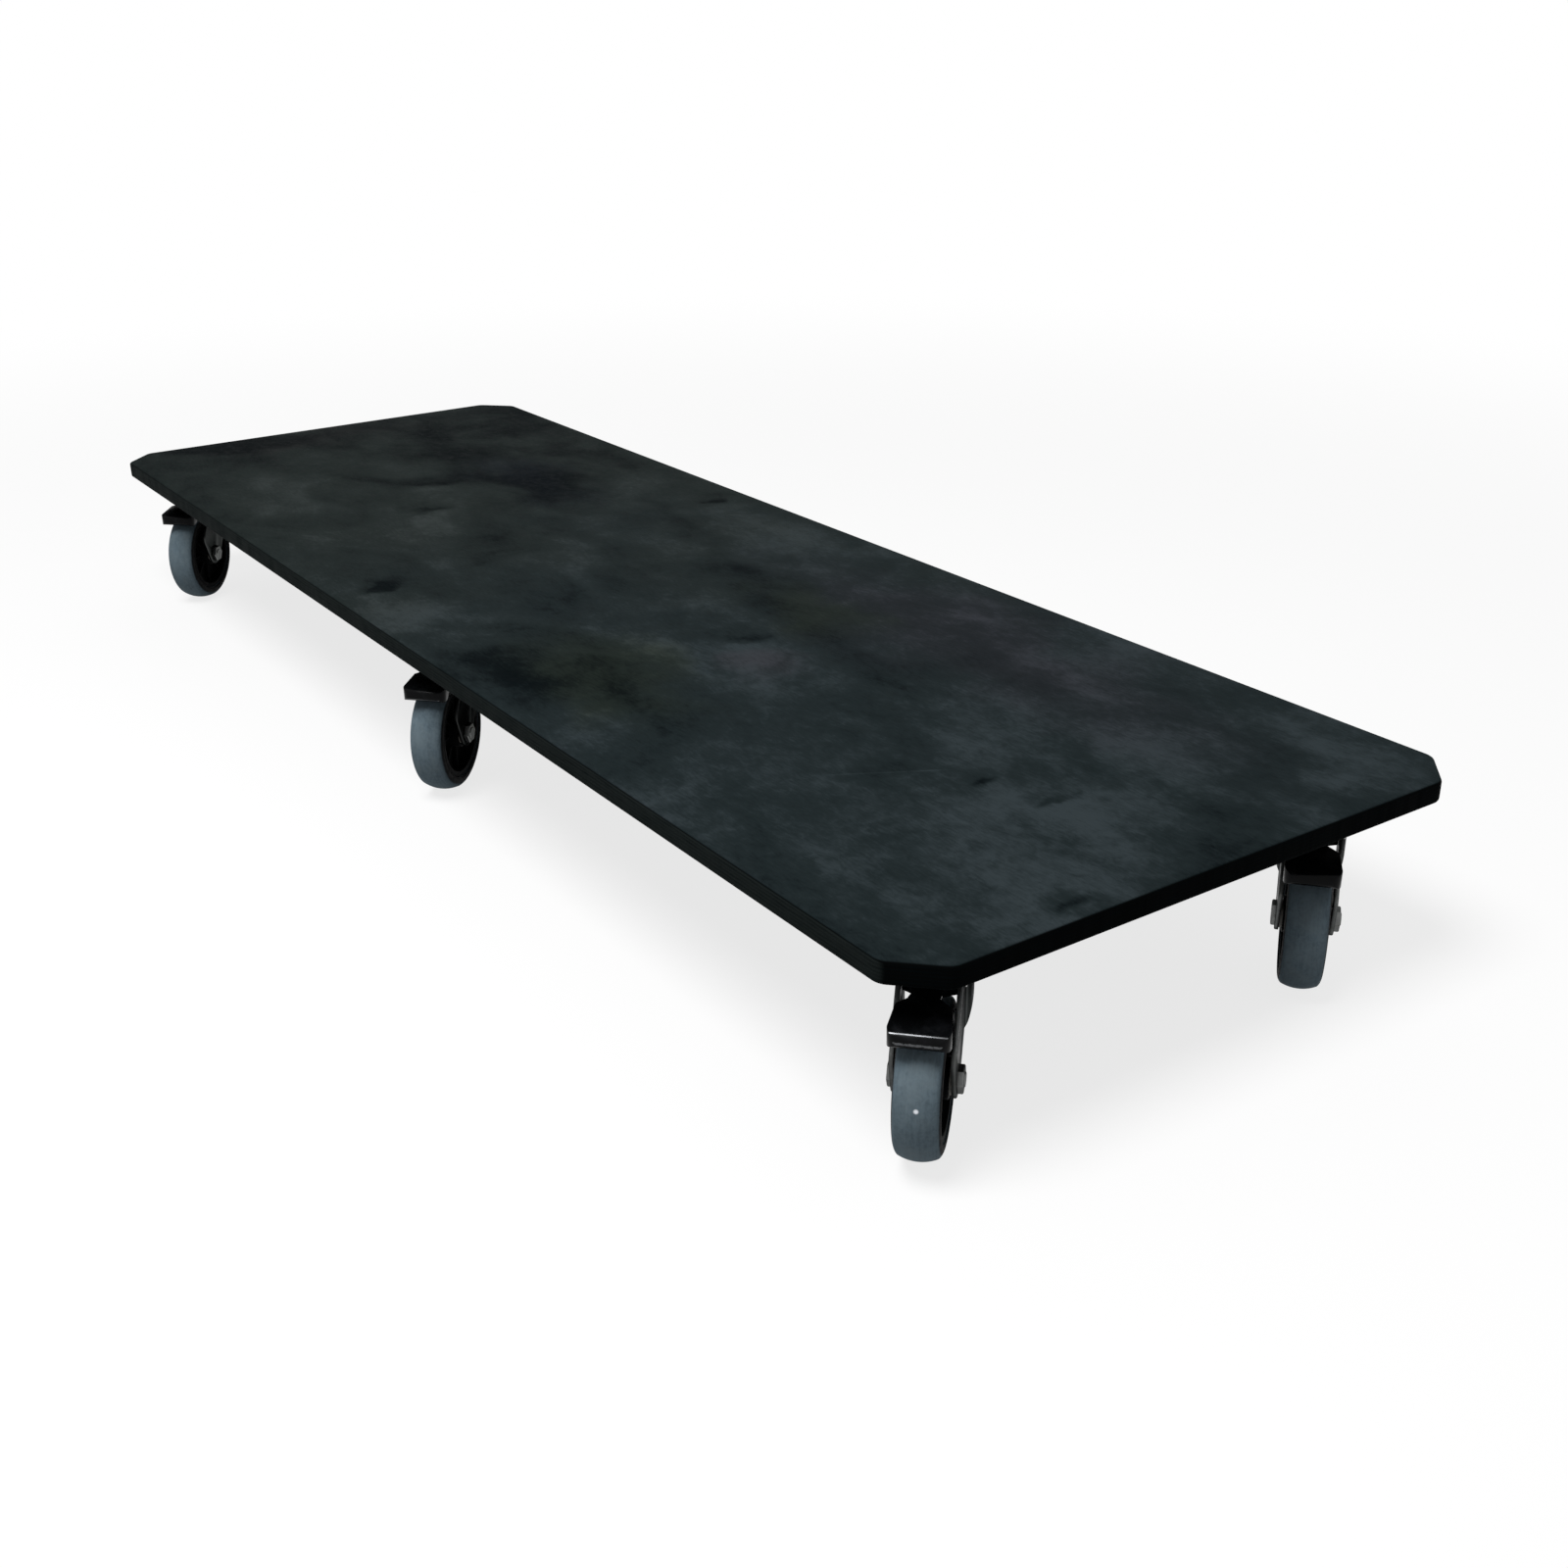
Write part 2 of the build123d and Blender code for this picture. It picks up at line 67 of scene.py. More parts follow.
def caster_matrix(caster):
    """Turns a caster's own axes into the deck's."""
    swivel = Vector(JOINTS[f"{caster}_swivel"]["pos_m"])
    across = Vector(JOINTS[caster + ROLL]["axis"]).normalized()
    up = Vector((0, 0, 1))
    matrix = Matrix((across.cross(up), across, up)).transposed().to_4x4()
    matrix.translation = (swivel.x, swivel.y, 0)
    return matrix


# The wheel in the caster's own axes
WHEEL_MIDDLE = caster_matrix(MODEL_CASTER).inverted() @ Vector(JOINTS[MODEL_CASTER + ROLL]["pos_m"])
WHEEL_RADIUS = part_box(f"tyre_{MODEL_CASTER}")[1].z - WHEEL_MIDDLE.z
# How far each wheel is rolled on from the one before, in radians, so that no two stand alike
WHEEL_STAGGER = 1.17


class PlatformDeckSettings(bpy.types.PropertyGroup):
    """Shape and finish of the deck board"""

    stain: FloatVectorProperty(
        name="Stain", description="Black stain where the veneer took it well",
        subtype="COLOR", size=3, min=0, max=1, default=(0.0122, 0.0164, 0.0166))
    pale: FloatVectorProperty(
        name="Pale figure", description="Stain where the veneer took it less",
        subtype="COLOR", size=3, min=0, max=1, default=(0.0310, 0.0375, 0.0390))
    deep: FloatVectorProperty(
        name="Dark figure", description="Stain where the veneer drank it",
        subtype="COLOR", size=3, min=0, max=1, default=(0.0014, 0.0028, 0.0034))
    # The ends and the long sides differ by painted light: the long sides are painted paler, as if lit from
    # the side
    end_edge: FloatVectorProperty(
        name="End grain", description="Stain on the sawn ends and clipped corners, which drank the most",
        subtype="COLOR", size=3, min=0, max=1, default=(0.0016, 0.0019, 0.0020))
    lit_side_edge: FloatVectorProperty(
        name="Side grain", description="Stain on the long sawn sides",
        subtype="COLOR", size=3, min=0, max=1, default=(0.0110, 0.0140, 0.0136))
    corner_cut: FloatProperty(
        name="Corner cut", description="How far along each side a corner of the board is cut off",
        unit="LENGTH", default=38 * MM)
    corner_ease: FloatProperty(
        name="Corner ease", description="How far the two ends of each corner cut are rounded off",
        unit="LENGTH", default=6 * MM)
    rounding: FloatProperty(
        name="Rounding", description="Rounding on the upper and lower rims of the board",
        unit="LENGTH", default=3 * MM)
    ply: FloatProperty(
        name="Ply", description="Thickness of one veneer of the board",
        unit="LENGTH", min=0.0005, max=0.004, default=1.55 * MM)


class PlatformCasterSettings(bpy.types.PropertyGroup):
    """Sizes and finishes of the six casters"""

    tread_width: FloatProperty(
        name="Tread width", description="Width of the tyre",
        unit="LENGTH", default=36 * MM)
    shoulder: FloatProperty(
        name="Shoulder", description="Rounding between the tread and the tyre's sides",
        unit="LENGTH", default=11 * MM)
    crown: FloatProperty(
        name="Crown", description="Radius of the tread across its width",
        unit="LENGTH", default=34 * MM)
    tyre_depth: FloatProperty(
        name="Tyre depth", description="From the tread to the rim",
        unit="LENGTH", default=14 * MM)
    rim_width: FloatProperty(
        name="Rim width", description="Width of the wheel centre at the tyre",
        unit="LENGTH", default=33 * MM)
    hub_length: FloatProperty(
        name="Hub length", description="Length of the hub along the axle",
        unit="LENGTH", default=37 * MM)
    hub_diameter: FloatProperty(
        name="Hub diameter", description="Outside of the hub",
        unit="LENGTH", default=32 * MM)
    ribs: IntProperty(
        name="Ribs", description="Stiffening ribs on each side of the wheel centre",
        min=3, max=24, default=8)
    lip_height: FloatProperty(
        name="Lip height", description="Height of the round lip at the pedal's toe",
        unit="LENGTH", default=13 * MM)
    edge_break: FloatProperty(
        name="Edge break", description="Rounding on the edges of the steel pressings",
        unit="LENGTH", default=0.6 * MM)
    rubber: FloatVectorProperty(
        name="Rubber", description="Blue-grey rubber of the tyres",
        subtype="COLOR", size=3, min=0, max=1, default=(0.114, 0.155, 0.183))
    dust: FloatVectorProperty(
        name="Dust", description="Dust picked up by the tread",
        subtype="COLOR", size=3, min=0, max=1, default=(0.140, 0.178, 0.198))
    # Painted shade: both zinc colours are set far darker than plain plating, standing for metal that
    # reflects dark surroundings under the deck
    zinc: FloatVectorProperty(
        name="Zinc", description="Dulled plating of the forks and top plates",
        subtype="COLOR", size=3, min=0, max=1, default=(0.090, 0.094, 0.093))
    bright_zinc: FloatVectorProperty(
        name="Bright zinc", description="Plating of the axle bolts and deck screws",
        subtype="COLOR", size=3, min=0, max=1, default=(0.146, 0.150, 0.148))
    enamel: FloatVectorProperty(
        name="Enamel", description="Black enamel of the brake pedals",
        subtype="COLOR", size=3, min=0, max=1, default=(0.0022, 0.0024, 0.0028))
    plastic: FloatVectorProperty(
        name="Plastic", description="Black moulding of the wheel centres",
        subtype="COLOR", size=3, min=0, max=1, default=(0.0040, 0.0042, 0.0045))


class PlatformStageSettings(bpy.types.PropertyGroup):
    """Floor, light and camera"""

    floor: FloatVectorProperty(
        name="Floor", description="Colour of the floor as it lights the platform from below",
        subtype="COLOR", size=3, min=0, max=1, default=(0.42, 0.42, 0.42))
    paper: FloatVectorProperty(
        name="Paper", description="Colour of the floor as the camera sees it",
        subtype="COLOR", size=3, min=0, max=1, default=(0.90, 0.90, 0.90))
    sky: FloatProperty(
        name="Sky", description="Strength of the even light from all round",
        min=0, max=2, default=0.26)
    key: FloatProperty(
        name="Key", description="Power of the soft lamp, which the fill lamp follows", subtype="POWER",
        min=0, max=2000, default=150)
    lens: FloatProperty(
        name="Lens", description="Focal length on a 36 mm wide sensor",
        unit="CAMERA", default=41.29)
    eye: FloatVectorProperty(
        name="Eye", description="Where the camera stands", subtype="TRANSLATION",
        unit="LENGTH", size=3, default=(1.70951, -0.95847, 0.79951))
    gaze: FloatVectorProperty(
        name="Gaze", description="How the camera is turned", subtype="EULER",
        unit="ROTATION", size=3,
        default=(math.radians(65.7576), math.radians(0.5876), math.radians(55.2137)))


class Finish:
    """A material in the making: its nodes, its shader and the coordinates it reads."""

    def __init__(self, name):
        self.material = bpy.data.materials.new(name)
        self.material.use_nodes = True
        self.tree = self.material.node_tree
        self.shader = self.tree.nodes["Principled BSDF"]
        coordinates = self.add("ShaderNodeTexCoord")
        self.place = coordinates.outputs["Object"]
        self.normal = coordinates.outputs["Normal"]

    def add(self, kind, inputs=None, **settings):
        """Adds a node; an input is a plain value or another node's output."""
        node = self.tree.nodes.new(kind)
        for name, value in settings.items():
            setattr(node, name, value)
        for name, value in (inputs or {}).items():
            if isinstance(value, bpy.types.NodeSocket):
                self.tree.links.new(value, node.inputs[name])
            else:
                node.inputs[name].default_value = value
        return node

    def set(self, **inputs):
        """Sets or links sockets of the shader; an underscore stands for a space."""
        for name, value in inputs.items():
            socket = self.shader.inputs[name.replace("_", " ")]
            if isinstance(value, bpy.types.NodeSocket):
                self.tree.links.new(value, socket)
            elif hasattr(value, "__len__") and len(value) == 3:
                socket.default_value = (*value, 1)
            else:
                socket.default_value = value

    def marked(self, name):
        """Vector written on the piece's own points."""
        return self.add("ShaderNodeAttribute", attribute_name=name).outputs["Vector"]

    def mapped(self, vector, scale=(1, 1, 1), location=(0, 0, 0), rotation=(0, 0, 0)):
        inputs = {"Vector": vector, "Scale": scale, "Location": location, "Rotation": rotation}
        return self.add("ShaderNodeMapping", inputs).outputs["Vector"]

    def noise(self, vector, scale, detail, roughness=0.5, distortion=0.0):
        inputs = {
            "Vector": vector, "Scale": scale, "Detail": detail,
            "Roughness": roughness, "Distortion": distortion}
        return self.add("ShaderNodeTexNoise", inputs).outputs["Fac"]

    def maths(self, operation, first, second=0.0):
        node = self.add("ShaderNodeMath", {0: first, 1: second}, operation=operation)
        return node.outputs["Value"]

    def total(self, first, *others):
        """Sum of all the values."""
        for other in others:
            first = self.maths("ADD", first, other)
        return first

    def swing(self, noise, strength):
        """Noise as a change either way about nothing."""
        return self.maths("MULTIPLY", self.maths("SUBTRACT", noise, 0.5), strength)

    def span(self, value, low, high, start=0.0, end=1.0):
        """Eases a value from start at low to end at high."""
        inputs = {"Value": value, "From Min": low, "From Max": high, "To Min": start, "To Max": end}
        node = self.add("ShaderNodeMapRange", inputs, interpolation_type="SMOOTHSTEP")
        return node.outputs["Result"]

    def mix(self, amount, first, second):
        node = self.add("ShaderNodeMix", {0: amount}, data_type="RGBA")
        for index, colour in ((6, first), (7, second)):
            if isinstance(colour, bpy.types.NodeSocket):
                self.tree.links.new(colour, node.inputs[index])
            else:
                node.inputs[index].default_value = (*colour, 1)
        return node.outputs[2]

    def part(self, vector, axis):
        return self.add("ShaderNodeSeparateXYZ", {"Vector": vector}).outputs[axis]

    def vectors(self, operation, first, second):
        """Adds, subtracts or multiplies two vectors."""
        node = self.add("ShaderNodeVectorMath", {0: first, 1: second}, operation=operation)
        return node.outputs["Vector"]

    def length(self, vector):
        node = self.add("ShaderNodeVectorMath", {0: vector}, operation="LENGTH")
        return node.outputs["Value"]

    def distance(self, vector, point):
        return self.length(self.vectors("SUBTRACT", vector, point))

    def ragged(self, vector, scale, reach):
        """The same place, pushed about by noise so that soft outlines come out torn."""
        noise = self.add("ShaderNodeTexNoise", {"Vector": vector, "Scale": scale, "Detail": 3})
        push = self.vectors("SUBTRACT", noise.outputs["Color"], (0.5, 0.5, 0.5))
        return self.vectors("ADD", self.vectors("MULTIPLY", push, (reach, reach, 0)), vector)

    def spot(self, vector, middle, reach, strength):
        """A soft oval: strength in its middle, nothing at its reach along X and Y."""
        offset = self.vectors("SUBTRACT", vector, (*middle, 0))
        offset = self.vectors("MULTIPLY", offset, (1 / reach[0], 1 / reach[1], 0))
        return self.span(self.length(offset), 0.15, 1, strength, 0)

    def bump(self, height, strength, depth):
        inputs = {"Height": height, "Strength": strength, "Distance": depth}
        self.set(Normal=self.add("ShaderNodeBump", inputs).outputs["Normal"])


# Where the veneer shows a knot: its middle on the deck and the radius of its dark core
KNOTS = (
    ((0.265, -0.010), 0.021),
    ((-0.375, -0.062), 0.020),
    ((-0.490, 0.008), 0.022),
    ((0.740, -0.024), 0.013),
    ((0.678, -0.045), 0.011),
    ((-0.192, 0.256), 0.016),
    ((0.882, -0.138), 0.014),
    ((-0.112, -0.238), 0.019),
)
# Where the stain dried darker or paler over a wide patch: middle, reach along X and Y, strength
PATCHES = (
    ((0.215, -0.245), (0.16, 0.11), -0.80),
    ((0.10, -0.17), (0.14, 0.12), -0.40),
    ((-0.40, 0.13), (0.15, 0.10), -0.75),
    ((-0.72, 0.13), (0.20, 0.16), -0.35),
    ((-0.86, -0.16), (0.07, 0.06), -0.60),
    ((-0.84, 0.28), (0.30, 0.07), -0.35),
    ((-0.12, 0.14), (0.16, 0.07), -0.40),
    ((0.06, 0.07), (0.20, 0.09), -0.10),
    ((0.22, -0.06), (0.12, 0.06), -0.35),
    ((0.45, 0.13), (0.16, 0.08), -0.15),
    ((-0.87, -0.10), (0.07, 0.20), -0.35),
    ((-0.70, 0.05), (0.14, 0.08), -0.35),
    ((-0.52, 0.25), (0.28, 0.06), -0.45),
    ((-0.88, -0.18), (0.05, 0.12), -0.40),
    ((-0.62, -0.19), (0.26, 0.13), 0.45),
    ((-0.42, -0.15), (0.20, 0.15), 0.25),
    ((-0.06, 0.22), (0.18, 0.10), 0.50),
    ((-0.21, 0.09), (0.12, 0.06), 0.30),
    ((0.00, -0.24), (0.12, 0.08), 0.40),
    ((0.70, 0.13), (0.13, 0.08), 0.30),
    ((0.05, 0.16), (0.10, 0.06), 0.35),
    ((0.79, -0.08), (0.16, 0.14), 0.55),
    ((0.50, -0.16), (0.26, 0.10), -0.20),
    ((0.52, 0.24), (0.34, 0.10), 0.30),
    ((0.83, 0.23), (0.09, 0.06), 0.45),
)
# Where the stain leans to another hue: middle, reach along X and Y, factors on red, green and blue
TINTS = (
    ((0.41, 0.17), (0.46, 0.15), (1.05, 0.94, 1.08)),
    ((0.35, -0.02), (0.08, 0.06), (1.08, 0.97, 1.08)),
    ((-0.45, 0.12), (0.20, 0.07), (0.98, 0.94, 1.10)),
    ((0.27, -0.17), (0.20, 0.10), (1.00, 1.03, 0.86)),
    ((0.22, 0.10), (0.14, 0.07), (1.01, 1.02, 0.88)),
    ((-0.85, -0.04), (0.09, 0.24), (1.14, 0.95, 0.94)),
)
# A long shallow scratch in the stain: its middle, half its length and its direction
SCRATCH = ((0.616, -0.098), 0.058, math.radians(60))


def shade_of(colour, factor):
    """The same colour, lighter or darker."""
    return tuple(factor * channel for channel in colour)


def scratch_mark(finish, flat):
    """A thin pale line that fades out at its ends."""
    middle, half, turn = SCRATCH
    line = finish.mapped(finish.vectors("SUBTRACT", flat, (*middle, 0)), rotation=(0, 0, -turn))
    along = finish.maths("ABSOLUTE", finish.part(line, "X"))
    across = finish.maths("ABSOLUTE", finish.part(line, "Y"))
    mark = finish.span(across, 0.4 * MM, 1.8 * MM, 0.6, 0)
    return finish.maths("MULTIPLY", mark, finish.span(along, 0.6 * half, half, 1, 0))


def veneer_tone(finish, flat, drifted, mottle, pores):
    """How pale or deep the face comes out: figure, patches, knots with a painted highlight and painted
    shade beside each, a scratch, and darker towards the rear.
    """
    torn = finish.ragged(flat, 24, 0.065)
    cloud = finish.noise(finish.mapped(flat, (3.2, 4.6, 1), (3.1, 1.7, 0)), 1.7, 3.5, 0.55, 0.8)
    curl = finish.noise(finish.mapped(flat, (0.7, 1.2, 1), (0.4, 0.9, 0), (0, 0, 0.4)), 11, 5, 0.62, 0.35)
    figure = ((cloud, 3.4), (curl, 2.2), (mottle, 2.3), (pores, 1.1))
    tone = finish.total(*[finish.swing(noise, strength) for noise, strength in figure])
    # The whole face darker towards the rear
    tone = finish.total(tone, finish.span(finish.part(flat, "X"), -0.9, 0.1, -0.5, 0.12))
    for middle, reach, strength in PATCHES:
        tone = finish.total(tone, finish.spot(drifted, middle, reach, 1.5 * strength))
    for (x, y), radius in KNOTS:
        # Beside each dark knot core: a pale patch towards +X and a dark one towards -X, painted highlight
        # and painted shade as on a bump lit from +X
        beside = (x + 2.8 * radius, y - 0.9 * radius)
        knot_lit_side = finish.spot(torn, beside, (3.8 * radius, 2.8 * radius), 0.55)
        shade = finish.spot(torn, (x - 0.8 * radius, y), (2.2 * radius, 2.4 * radius), -0.55)
        core = finish.spot(torn, (x, y), (radius, 1.5 * radius), -1.0)
        tone = finish.total(tone, knot_lit_side, shade, core)
    return finish.total(tone, scratch_mark(finish, flat))


def veneer_tint(finish, flat, drifted):
    """Leans the stain to a cooler hue towards the front, and to other hues in places."""
    cool = finish.total(finish.part(flat, "X"), finish.swing(finish.noise(flat, 4.5, 2), 1))
    tint = finish.mix(finish.span(cool, -0.55, 0.45), (1.0, 1.0, 0.95), (0.92, 1.0, 1.07))
    for middle, reach, factors in TINTS:
        tint = finish.mix(finish.spot(drifted, middle, reach, 1), tint, factors)
    return tint


def sawn_edge(finish, settings, plies):
    """Stain on the sawn edges, streaked by the saw and the plies; the long sides are painted paler than the
    ends, as painted light from the side.
    """
    sawn = finish.noise(finish.mapped(finish.place, (30, 30, 420)), 1, 3, 0.6)
    band = finish.total(finish.maths("MULTIPLY", plies, 0.12), sawn)
    # Painted light: edges facing along Y get the paler colour, the ends and clipped corners the darker one
    long_side = finish.span(finish.maths("ABSOLUTE", finish.part(finish.normal, "Y")), 0.75, 0.95)
    edge = finish.mix(long_side, settings.end_edge, settings.lit_side_edge)
    return finish.mix(finish.span(band, 0.35, 1.0), edge, settings.deep)


def stained_veneer(settings):
    """Black-stained birch veneer with its figure, pores and knots, and dark sawn edges."""
    finish = Finish("stained_birch")
    flat = finish.mapped(finish.place, scale=(1, 1, 0))
    drifted = finish.ragged(flat, 9, 0.20)
    mottle = finish.noise(finish.mapped(flat, (1, 1.3, 1)), 58, 5, 0.68, 0.5)
    pores = finish.noise(finish.mapped(flat, (90, 420, 1)), 1.0, 2, 0.6)
    tone = veneer_tone(finish, flat, drifted, mottle, pores)
    face = finish.mix(finish.span(tone, -1.5, 0.1), settings.deep, settings.stain)
    face = finish.mix(finish.span(tone, -0.1, 1.5), face, settings.pale)
    face = finish.vectors("MULTIPLY", face, veneer_tint(finish, flat, drifted))
    height = finish.part(finish.place, "Z")
    plies = finish.maths("SINE", finish.maths("MULTIPLY", height, math.pi / settings.ply))
    on_face = finish.span(finish.maths("ABSOLUTE", finish.part(finish.normal, "Z")), 0.6, 0.95)
    finish.set(
        Base_Color=finish.mix(on_face, sawn_edge(finish, settings, plies), face),
        Roughness=finish.span(mottle, 0.3, 0.7, 0.55, 0.75),
        Specular_IOR_Level=0.004)
    grain = finish.maths("MULTIPLY", finish.total(pores, mottle), on_face)
    finish.bump(finish.total(grain, finish.maths("MULTIPLY", plies, 0.3)), 0.3, 0.0004)
    return finish.material


def zinc_plate(name, colour, streaks, shade_heights=None):
    """Zinc on steel: faint streaks, patchy gloss and fine pits.

    Pieces given shade heights darken between those two heights in the caster's own axes, as painted shade
    under the deck, and darken all over by each caster's first mark number, also painted shade.
    """
    finish = Finish(name)
    place = finish.marked("caster_place") if shade_heights else finish.place
    drawn = finish.noise(finish.mapped(place, streaks), 1, 4, 0.65, 0.3)
    patch = finish.noise(finish.place, 45, 3, 0.55, 0.8)
    pits = finish.noise(finish.place, 1500, 2, 0.6)
    dull = shade_of(colour, 0.78)
    tint = finish.mix(finish.span(drawn, 0.32, 0.68), dull, colour)
    stained = tuple(channel * factor for channel, factor in zip(colour, (0.62, 0.60, 0.55)))
    tint = finish.mix(finish.span(patch, 0.52, 0.78, 0, 0.8), tint, stained)
    gloss = finish.total(finish.span(patch, 0.3, 0.75, 0.20, 0.40), finish.maths("MULTIPLY", drawn, 0.12))
    if shade_heights:
        # Painted shade: darker towards the top under the deck, and all over on the forks listed in the
        # shade table
        height = finish.total(finish.part(place, "Z"), finish.maths("MULTIPLY", patch, 0.02))
        soil = finish.maths("MULTIPLY", finish.part(finish.marked("wear"), "X"), 0.88)
        painted_shade = finish.maths("MAXIMUM", finish.span(height, *shade_heights, 0, 0.9), soil)
        tint = finish.mix(painted_shade, tint, shade_of(colour, 0.2))
    finish.set(Base_Color=tint, Metallic=1.0, Roughness=gloss, Specular_Tint=(0.25, 0.25, 0.25))
    rough = finish.total(finish.maths("MULTIPLY", drawn, 0.6), finish.maths("MULTIPLY", pits, 0.4))
    finish.bump(rough, 0.18, 0.00008)
    return finish.material


def turned_steel(name, colour):
    """Bare turned steel with an oil film: fine turning marks and patches of darker oil."""
    finish = Finish(name)
    rings = finish.noise(finish.mapped(finish.place, (260, 260, 2600)), 1, 2, 0.5)
    oil = finish.noise(finish.place, 130, 3, 0.6, 0.5)
    dark = shade_of(colour, 0.45)
    tint = finish.mix(finish.span(oil, 0.45, 0.72), colour, dark)
    finish.set(Base_Color=tint, Metallic=1.0, Roughness=finish.span(oil, 0.3, 0.7, 0.34, 0.18))
    finish.bump(rings, 0.15, 0.00008)
    return finish.material


# Where painted highlights run along a pedal's lip, drawn as bare metal: an angle up from its front, and the
# width of the line
PAINTED_HIGHLIGHT_LINES = ((62, 0.9 * MM), (-35, 0.9 * MM), (-6, 2.4 * MM))
# How strongly each of those painted highlight lines shows on a pedal
PEDAL_HIGHLIGHTS = {"front_right": (1.0, 0.0, 0.6), "middle_right": (0.0, 0.75, 0.0)}
# How far painted shade under the deck darkens a whole fork, as the first number
FORK_SHADE = {
    "middle_right": (1.0, 0, 0),
    "middle_left": (0.8, 0, 0),
    "rear_right": (0.6, 0, 0),
    "rear_left": (0.6, 0, 0),
}
# The wheel with a small white spot on its tread, as the first number
SPOTTED_WHEEL = {"front_right": (1.0, 0, 0)}


def black_enamel(settings, bends):
    """Glossy black enamel on pressed steel, chipped to metal in spots, with painted highlights drawn as
    bare metal along the bends of the toe's lip.
    """
    finish = Finish("black_enamel")
    place = finish.marked("caster_place")
    side = finish.vectors("MULTIPLY", place, (1, 0, 1))
    peel = finish.noise(finish.place, 420, 2, 0.5)
    grime = finish.noise(finish.place, 60, 4, 0.6, 0.6)
    chips = finish.noise(finish.place, 330, 4, 0.7, 0.4)
    wear = finish.marked("wear")
    highlight_lines = 0.0
    # Painted highlights: bare-metal lines along the bends of the lip, where the enamel would catch the
    # light
    for axis, (bend, width) in zip("XYZ", bends):
        line = finish.span(finish.distance(side, bend), 0.2 * width, width, 1, 0)
        highlight_lines = finish.maths("MAXIMUM", highlight_lines, finish.maths("MULTIPLY", line, finish.part(wear, axis)))
    chips_and_highlights = finish.span(finish.total(highlight_lines, finish.swing(chips, 0.9)), 0.42, 0.62)
    dusty = shade_of(settings.enamel, 3.2)
    coat = finish.mix(finish.span(grime, 0.45, 0.8), settings.enamel, dusty)
    gloss = finish.total(finish.span(grime, 0.35, 0.8, 0.16, 0.36), finish.maths("MULTIPLY", chips_and_highlights, 0.08))
    finish.set(
        Base_Color=finish.mix(chips_and_highlights, coat, (0.085, 0.088, 0.092)),
        Metallic=chips_and_highlights,
        Roughness=gloss,
        Specular_IOR_Level=0.06)
    finish.bump(finish.maths("SUBTRACT", peel, finish.maths("MULTIPLY", chips_and_highlights, 0.8)), 0.12, 0.00012)
    return finish.material


def grey_rubber(settings):
    """Blue-grey tread rubber, dusty and scuffed, with its sidewalls painted near-black as painted shade,
    and a small white spot on one wheel.
    """
    finish = Finish("grey_rubber")
    place = finish.marked("caster_place")
    offset = finish.vectors("SUBTRACT", place, tuple(WHEEL_MIDDLE))
    reach = finish.length(finish.vectors("MULTIPLY", offset, (1, 0, 1)))
    tread = finish.span(reach, WHEEL_RADIUS - 5 * MM, WHEEL_RADIUS - 1 * MM)
    cloud = finish.noise(finish.place, 38, 4, 0.6, 0.5)
    scuff = finish.noise(finish.place, 240, 4, 0.7, 0.7)
    streak = finish.noise(finish.mapped(place, (45, 420, 45)), 1, 3, 0.6, 0.2)
    skin = finish.noise(finish.place, 1900, 2, 0.6)
    dusty = finish.maths("MULTIPLY", tread, finish.span(cloud, 0.35, 0.72))
    shade = shade_of(settings.rubber, 0.72)
    marks = finish.total(finish.maths("MULTIPLY", scuff, 0.6), finish.maths("MULTIPLY", streak, 0.4))
    colour = finish.mix(finish.span(marks, 0.36, 0.60), shade, settings.rubber)
    colour = finish.mix(finish.maths("MULTIPLY", dusty, 0.7), colour, settings.dust)
    aside = finish.maths("ABSOLUTE", finish.part(offset, "Y"))
    aside = finish.total(aside, finish.maths("MULTIPLY", scuff, MM))
    edge = settings.tread_width / 2
    # Painted shade: the sidewalls turn near-black, as sides in shadow
    sidewall_shade = finish.mix(finish.span(cloud, 0.4, 0.7), shade_of(settings.plastic, 0.5), settings.plastic)
    sidewall = finish.span(aside, edge - 1.2 * MM, edge - 0.1 * MM)
    colour = finish.mix(sidewall, colour, sidewall_shade)
    # A small white spot on the tread of one wheel
    turn = math.radians(9)
    spot_middle = (WHEEL_RADIUS * math.cos(turn), 1 * MM, WHEEL_RADIUS * math.sin(turn))
    white_spot = finish.span(finish.distance(offset, spot_middle), 0.9 * MM, 2.4 * MM, 1, 0)
    white_spot = finish.maths("MULTIPLY", white_spot, finish.part(finish.marked("wear"), "X"))
    finish.set(
        Base_Color=finish.mix(white_spot, colour, (0.92, 0.95, 1.0)),
        Roughness=finish.span(scuff, 0.3, 0.7, 0.66, 0.86),
        Specular_IOR_Level=0.05)
    finish.bump(finish.total(skin, finish.maths("MULTIPLY", scuff, 1.5)), 0.2, 0.00018)
    return finish.material


def black_moulding(settings):
    """Black wheel plastic: a fine spark texture, and dust along its flow marks."""
    finish = Finish("black_moulding")
    spark = finish.noise(finish.place, 1400, 3, 0.6)
    flow = finish.noise(finish.place, 55, 3, 0.5, 1.2)
    dust = shade_of(settings.plastic, 2.6)
    finish.set(
        Base_Color=finish.mix(finish.span(flow, 0.42, 0.8), settings.plastic, dust),
        Roughness=finish.span(flow, 0.3, 0.7, 0.42, 0.60),
        Specular_IOR_Level=0.006)
    finish.bump(spark, 0.18, 0.00012)
    return finish.material


